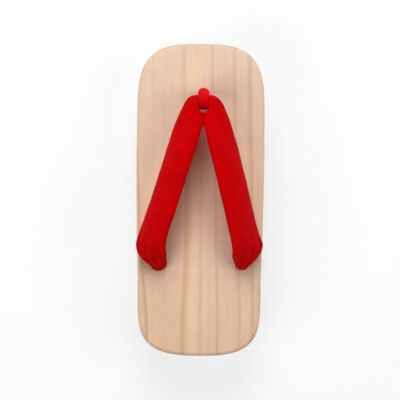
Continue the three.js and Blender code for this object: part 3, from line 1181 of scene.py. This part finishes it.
@dataclass
class Thong:
    """The stuffed thong: one tube from the outer rear hole, round the toe loop, to the inner one."""

    block: SoleBlock
    band: BVHTree
    stations_per_row: int = 10
    sides: int = 80
    gap: float = 0.3
    press: float = 0.1
    middle_x: float = 1.9
    eye_rear: float = 64.6
    eye_centre: float = 70.6
    eye_half: tuple[float, float] = (3.7, 5.6)
    pillow: Pillow = field(default_factory=Pillow)

    def middle(self, row: float) -> np.ndarray:
        """Gives the middle of the thong at a row number."""
        x, y, rise = (cubic(THONG_ROWS, key, row) for key in ("x", "y", "rise"))
        return np.array([x, y, self.block.top - self.block.sag + rise])

    def padding(self, row: float, degrees: np.ndarray, points: np.ndarray) -> np.ndarray:
        """Gives how far the padding and its folds move each point out.

        Args:
            row: The station's row number.
            degrees: The angles round the section.
            points: The section's points.

        Returns:
            The distances, in millimetres.
        """
        end = min(row, len(THONG_ROWS) - 1 - row)
        near_bend = abs(row - BEND)
        neck = math.exp(-((end / 2.4) ** 2))
        fold = math.exp(-((near_bend / 1.3) ** 2))
        turn = np.radians(degrees)
        gathers = 0.22 * neck * min(1.0, end / 2.5) * np.cos(9 * turn + 0.7 * math.sin(row * 1.7))
        gathers = gathers + 0.16 * fold * np.cos(8 * turn + 0.9 * math.sin(row * 2.1))
        seam_off = ((degrees - 268 + 180) % 360 - 180) / 3.4
        seam = -0.55 * np.exp(-(seam_off**2)) + 0.2 * np.exp(-((np.abs(seam_off) - 2.2) ** 2))
        lumps = np.array([self.lump(Vector(p)) for p in points])
        return gathers + seam + lumps + crease_depth(THONG_CREASES, row, degrees)

    def lump(self, spot: Vector) -> float:
        """Gives the stuffing's unevenness at a point: broad lumps with finer ones on them."""
        return 0.30 * noise.noise(spot / 9.0) + 0.12 * noise.noise(spot / 3.2)

    def section(self, row: float) -> Ring:
        """Gives one ring of the thong's skin.

        Args:
            row: The row number.

        Returns:
            The ring's points.
        """
        last = len(THONG_ROWS) - 1
        turn = np.linspace(0, 2 * math.pi, self.sides, endpoint=False)
        columns = ("heading", "width", "thick", "tilt")
        heading, width, thick, tilt = (cubic(THONG_ROWS, key, row) for key in columns)
        ahead = unit(self.middle(min(row + 0.05, last)) - self.middle(max(row - 0.05, 0)))
        heading, tilt = math.radians(heading), math.radians(tilt)
        inward = np.array([math.cos(heading), -math.sin(heading), 0.0])
        outward = unit(np.cross(inward, ahead))
        flat = inward * math.cos(tilt) + outward * math.sin(tilt)
        crown = outward * math.cos(tilt) - inward * math.sin(tilt)
        square = min(1.0, min(row, last - row) / 3)
        offsets = self.pillow.points(width, thick, turn, square)
        points, out = loft_ring(self.middle(row), offsets, (flat, crown), (width, thick))
        points = points + out * self.padding(row, np.degrees(turn), points)[:, None]
        return self.fitted(points, row)

    def fitted(self, points: Ring, row: float) -> Ring:
        """Presses the two halves against each other at the toe, and the necks onto the footbed.

        Args:
            points: The ring's points.
            row: The ring's row number.

        Returns:
            The points, moved.
        """
        if abs(row - BEND) > 1:
            behind = points[:, 1] < self.eye_rear
            if row < BEND:
                wall = np.minimum(points[:, 0], self.middle_x + self.press / 2)
            else:
                wall = np.maximum(points[:, 0], self.middle_x - self.press / 2)
            points[:, 0] = np.where(behind, wall, points[:, 0])
        if 0.45 < abs(row - BEND) < 3:
            eye = np.array([self.middle_x, self.eye_centre])
            off = (points[:, :2] - eye) / self.eye_half
            reach = np.maximum(np.linalg.norm(off, axis=1, keepdims=True), 1e-6)
            opened = eye + off / reach * np.maximum(reach, 1.0) * self.eye_half
            same_side = (points[:, :1] - self.middle_x) * (row - BEND) > -0.5
            points[:, :2] = np.where(same_side, opened, points[:, :2])
        which = 1 if row < BEND else 2
        hole, radius = self.block.holes[which], self.block.hole_radii[which]
        clear = np.hypot(points[:, 0] - hole[0], points[:, 1] - hole[1]) > radius - 0.3
        floor = np.array([self.block.footbed(y) for y in points[:, 1]]) + self.gap
        points[:, 2] = np.where(clear, np.maximum(points[:, 2], floor), points[:, 2])
        return points

    def build(self, cloth: bpy.types.Material) -> bpy.types.Object:
        """Builds and dresses the thong.

        Args:
            cloth: Its finish.

        Returns:
            The thong.
        """
        count = (len(THONG_ROWS) - 1) * self.stations_per_row
        rings = [self.section(k / self.stations_per_row) for k in range(count + 1)]
        points, faces = skin(rings)
        made = new_object("stuffed_thong", pressed(points, self.band, self.gap), faces)
        facing_out(made)
        made.data.materials.append(cloth)
        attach(made, "root")
        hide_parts("strap_upper")
        log.info("stuffed thong: %d faces", len(made.data.polygons))
        return made


@dataclass
class ToeLoop:
    """The cloth band that comes up through the front hole, over the thong and back down."""

    block: SoleBlock
    x: float = 1.9
    stations_per_row: int = 10
    sides: int = 56
    pillow: Pillow = field(default_factory=lambda: Pillow(2.05, 0.6))

    def middle(self, row: float) -> np.ndarray:
        """Gives the middle of the band at a row number."""
        y, rise = (cubic(LOOP_ROWS, key, row) for key in ("y", "rise"))
        return np.array([self.x, y, self.block.top - self.block.sag + rise])

    def section(self, row: float) -> Ring:
        """Gives one ring of the band's skin.

        Args:
            row: The row number.

        Returns:
            The ring's points.
        """
        last = len(LOOP_ROWS) - 1
        turn = np.linspace(0, 2 * math.pi, self.sides, endpoint=False)
        width, thick = (cubic(LOOP_ROWS, key, row) for key in ("width", "thick"))
        ahead = unit(self.middle(min(row + 0.05, last)) - self.middle(max(row - 0.05, 0)))
        axes = np.array([1.0, 0.0, 0.0]), np.array([0.0, ahead[2], -ahead[1]])
        offsets = self.pillow.points(width, thick, turn)
        points, push = loft_ring(self.middle(row), offsets, axes, (width, thick))
        lumps = np.array([0.14 * noise.noise(Vector(p) / 4.0) for p in points])
        depth = crease_depth(LOOP_CREASES, row, np.degrees(turn)) + lumps
        return points + push * depth[:, None]

    def shape(self) -> tuple[np.ndarray, list[tuple[int, ...]]]:
        """Gives the band's points and faces."""
        count = (len(LOOP_ROWS) - 1) * self.stations_per_row
        return skin([self.section(k / self.stations_per_row) for k in range(count + 1)])

    def tree(self) -> BVHTree:
        """Gives the band's faces for other pieces to rest on."""
        points, faces = self.shape()
        return BVHTree.FromPolygons([Vector(p) for p in points], faces)

    def build(self, cloth: bpy.types.Material) -> bpy.types.Object:
        """Builds and dresses the loop.

        Args:
            cloth: Its finish.

        Returns:
            The loop.
        """
        made = new_object("toe_band", *self.shape())
        facing_out(made)
        made.data.materials.append(cloth)
        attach(made, "root")
        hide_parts("toe_loop")
        log.info("toe band: %d faces", len(made.data.polygons))
        return made


# ---------------------------------------------------------------- the cords


@dataclass
class TwistedCord:
    """A three-strand cord laid along a smooth path."""

    name: str
    node: str
    paths: tuple[tuple[tuple[float, float, float], ...], ...]
    radius: float = 2.3
    pitch: float = 10.0
    strands: int = 3
    sides: int = 10
    steps_per_knot: int = 24
    spacing: float = 0.55
    strand_offset: float = 0.52
    strand_radius: float = 0.5
    end_share: float = 0.6

    def smooth_path(self, knots: Sequence[Sequence[float]]) -> np.ndarray:
        """Gives evenly spaced points on a smooth curve through the knots.

        Args:
            knots: The points that the curve passes.

        Returns:
            The curve's points.
        """
        pts = np.array(knots, dtype=float)
        padded = np.concatenate([[2 * pts[0] - pts[1]], pts, [2 * pts[-1] - pts[-2]]])
        curve = []
        for i in range(len(pts) - 1):
            for share in np.linspace(0, 1, self.steps_per_knot, endpoint=False):
                curve.append(through(*padded[i : i + 4], share))
        curve.append(pts[-1])
        dense = np.array(curve)
        run = np.concatenate([[0], np.cumsum(np.linalg.norm(np.diff(dense, axis=0), axis=1))])
        even = np.linspace(0, run[-1], max(int(run[-1] / self.spacing), 8))
        return np.column_stack([np.interp(even, run, dense[:, k]) for k in range(3)])

    def tubes(self, path: np.ndarray) -> list[tuple[np.ndarray, list[tuple[int, ...]]]]:
        """Gives the skin of each strand wound round a path.

        Args:
            path: The cord's middle line.

        Returns:
            Each strand's points and faces.
        """
        ahead = np.gradient(path, axis=0)
        ahead /= np.linalg.norm(ahead, axis=1, keepdims=True)
        side = unit(np.cross(ahead[0], (0.3, 0.5, 0.8)))
        sides = []
        for direction in ahead:
            side = unit(side - direction * side.dot(direction))
            sides.append(side)
        first = np.array(sides)
        second = np.cross(ahead, first)
        run = np.concatenate([[0], np.cumsum(np.linalg.norm(np.diff(path, axis=0), axis=1))])
        turn = np.linspace(0, 2 * math.pi, self.sides, endpoint=False)
        cosine, sine = np.cos(turn)[:, None], np.sin(turn)[:, None]
        made = []
        for strand in range(self.strands):
            angle = 2 * math.pi * (run / self.pitch + strand / self.strands)
            offset = self.radius * self.strand_offset
            line = path + offset * (np.cos(angle)[:, None] * first + np.sin(angle)[:, None] * second)
            rings = []
            for k in range(len(line)):
                size = self.radius * self.strand_radius
                if k in (0, len(line) - 1):
                    size *= self.end_share
                rings.append(line[k] + size * (cosine * first[k] + sine * second[k]))
            made.append(skin(rings))
        return made

    def build(self, cotton: bpy.types.Material) -> bpy.types.Object:
        """Builds and dresses the cord.

        Args:
            cotton: Its finish.

        Returns:
            The cord.
        """
        verts: list[np.ndarray] = []
        faces: list[tuple[int, ...]] = []
        start = 0
        for knots in self.paths:
            for points, skin_faces in self.tubes(self.smooth_path(knots)):
                verts.append(points)
                faces += [tuple(start + i for i in face) for face in skin_faces]
                start += len(points)
        made = new_object(self.name, np.concatenate(verts), faces)
        facing_out(made)
        made.data.materials.append(cotton)
        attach(made, "root")
        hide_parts(self.node)
        log.info("%s: %d faces", self.name, len(made.data.polygons))
        return made


def wraps(centre: Sequence[float], radius: float, turns: float, run: float, phase: float) -> list[tuple]:
    """Gives the turns of a knot wound about the X axis.

    Args:
        centre: The knot's middle.
        radius: The radius of the turns.
        turns: How many turns there are.
        run: How far the turns spread along X.
        phase: Where the first turn starts, in degrees.

    Returns:
        The points of the turns.
    """
    count = int(turns * 8)
    points = []
    for i in range(count + 1):
        share = i / count
        angle = math.radians(phase) + share * turns * 2 * math.pi
        off = ((share - 0.5) * run, radius * math.cos(angle), radius * math.sin(angle))
        points.append(tuple(c + o for c, o in zip(centre, off)))
    return points


@dataclass
class Cords:
    """The two cords tied under the board."""

    block: SoleBlock
    top: float = 41.2
    front_level: float = 24.6
    rear_level: float = 24.0

    def front(self, cotton: bpy.types.Material) -> bpy.types.Object:
        """Builds the toe loop's cord and its stopper knot.

        Args:
            cotton: Its finish.

        Returns:
            The cord.
        """
        x, y = self.block.holes[0]
        z = self.front_level
        turns = wraps((x, y, z), 3.3, 2.0, 5.4, 90)
        down = (
            (x - 1, y, self.top),
            (x - 1.2, y, 34.0),
            *turns,
            (x + 6, y + 2.2, z - 1.5),
            (x + 11, y + 2, z - 3),
        )
        back = (
            (x + 1.6, y, self.top),
            (x + 1.2, y - 0.4, 33.0),
            (x, y, z),
            (x - 6, y + 0.8, z - 1.6),
            (x - 11, y + 1, z - 3),
        )
        return TwistedCord("front_tie", "front_cord", (down, back), radius=1.9, pitch=8.0).build(cotton)

    def rear(self, cotton: bpy.types.Material) -> bpy.types.Object:
        """Builds the cord between the rear holes, tied in its middle.

        Args:
            cotton: Its finish.

        Returns:
            The cord.
        """
        left, right = self.block.holes[1], self.block.holes[2]
        x, y, z = (left[0] + right[0]) / 2, left[1] + 3, self.rear_level
        turns = wraps((x, y, z), 3.2, 2.0, 5.2, 200)
        first = (
            (*left, self.top),
            (*left, 34.0),
            (left[0] + 4, left[1] + 0.5, 26.6),
            (left[0] + 14, left[1] + 1.6, 25.0),
            (x - 6, y - 0.6, z + 0.4),
            *turns,
            (x + 3, y + 6, z - 1.5),
            (x + 4, y + 11, z - 2),
        )
        second = (
            (*right, self.top),
            (*right, 34.0),
            (right[0] - 4, right[1] + 0.3, 26.6),
            (right[0] - 14, right[1] + 1.2, 25.0),
            (x + 6, y - 0.5, z + 0.4),
            (x, y + 0.5, z),
            (x - 3, y + 5, z - 1.2),
            (x - 3, y + 11, z - 2),
        )
        return TwistedCord("rear_tie", "rear_cord", (first, second), radius=2.2, pitch=10.0).build(cotton)


# ---------------------------------------------------------------- the studio


class LightRole(Enum):
    """What each lamp is for."""

    TOE_SIDE = "toe_side_lamp"
    HEEL_SIDE = "heel_side_lamp"
    INNER_SIDE = "inner_side_lamp"


@dataclass(frozen=True)
class Lamp:
    """A soft rectangular lamp that looks at the sandal."""

    role: LightRole
    place: tuple[float, float, float]
    size: float
    power: float
    tone: Colour = (1.0, 1.0, 1.0)

    def build(self) -> bpy.types.Object:
        """Builds the lamp.

        Returns:
            The lamp.
        """
        data = bpy.data.lights.new(self.role.value, "AREA")
        data.shape = "SQUARE"
        data.size = self.size
        data.energy = self.power
        data.color = self.tone
        made = bpy.data.objects.new(self.role.value, data)
        made.location = self.place
        made.rotation_euler = (Vector((0, 0, 0.05)) - Vector(self.place)).to_track_quat("-Z", "Y").to_euler()
        bpy.context.scene.collection.objects.link(made)
        return made


@dataclass
class Studio:
    """The floor, the light and the camera straight above the footbed.

    The floor's sizes are millimetres, and the camera's and the lamps' are metres.
    """

    camera_height: float = 1.75
    deck: float = 0.048
    floor_level: float = -0.1
    floor_half: float = 3000.0
    floor_steps: int = 24
    view_width: float = 0.3013
    roll: float = 0.6
    centre: tuple[float, float] = (0.0, 0.0)
    world: float = 0.065
    world_tone: Colour = (1.0, 0.82, 0.66)
    backdrop: float = 0.9
    backdrop_tone: Colour = (1.0, 1.0, 1.0)
    lamps: tuple[Lamp, ...] = (
        Lamp(LightRole.TOE_SIDE, (-0.05, 1.06, 1.10), 0.9, 16.3),
        Lamp(LightRole.HEEL_SIDE, (-0.88, -0.64, 1.12), 1.25, 11.4),
        Lamp(LightRole.INNER_SIDE, (1.06, -0.05, 1.10), 1.0, 7.2),
    )

    def build(self) -> None:
        """Builds the whole studio."""
        self.floor()
        for lamp in self.lamps:
            lamp.build()
        self.sky()
        self.camera()

    def floor(self) -> None:
        """Lays the pale floor."""
        steps = self.floor_steps
        side = np.linspace(-self.floor_half, self.floor_half, steps + 1)
        verts = [(x, y, self.floor_level) for y in side for x in side]
        faces = []
        for j in range(steps):
            for i in range(steps):
                a = j * (steps + 1) + i
                faces.append((a, a + 1, a + steps + 2, a + steps + 1))
        made = new_object("floor", np.array(verts), faces)
        made.data.materials.append(StudioPaper().build())

    def sky(self) -> None:
        """Sets the weak even light from all round, and the paler backdrop that closes the view."""
        world = bpy.data.worlds.new("studio")
        world.use_nodes = True
        g = Graph(world.node_tree)
        ground = world.node_tree.nodes["Background"]
        seen = g.node("LightPath").outputs["Is Camera Ray"]
        g.tree.links.new(g.blend(seen, self.world_tone, self.backdrop_tone), ground.inputs[0])
        g.tree.links.new(g.span(seen, 0.0, 1.0, self.world, self.backdrop), ground.inputs[1])
        bpy.context.scene.world = world
        bpy.context.scene.view_settings.view_transform = "Standard"
        bpy.context.scene.view_settings.look = "None"

    def camera(self) -> None:
        """Hangs the camera straight above, with the toe up."""
        data = bpy.data.cameras.new("camera")
        data.sensor_width = 36.0
        data.lens = data.sensor_width * (self.camera_height - self.deck) / self.view_width
        data.clip_start = 0.05
        data.clip_end = 20.0
        made = bpy.data.objects.new("camera", data)
        made.location = (*self.centre, self.camera_height)
        made.rotation_euler = Euler((0.0, 0.0, math.radians(self.roll)))
        bpy.context.scene.collection.objects.link(made)
        bpy.context.scene.camera = made


# ---------------------------------------------------------------- putting it together


def main() -> None:
    """Builds the sandal and its studio."""
    Studio().build()
    pile, handling = pile_group(), handling_group()
    cloth = ThongCloth().build(pile, handling)
    cotton = CottonCord().build(pile, handling)
    wood = PaleWood().build(handling)
    block = SoleBlock()
    block.build(wood)
    loop = ToeLoop(block)
    Thong(block, loop.tree()).build(cloth)
    loop.build(cloth)
    cords = Cords(block)
    cords.front(cotton)
    cords.rear(cotton)


if __name__ == "__main__":
    main()
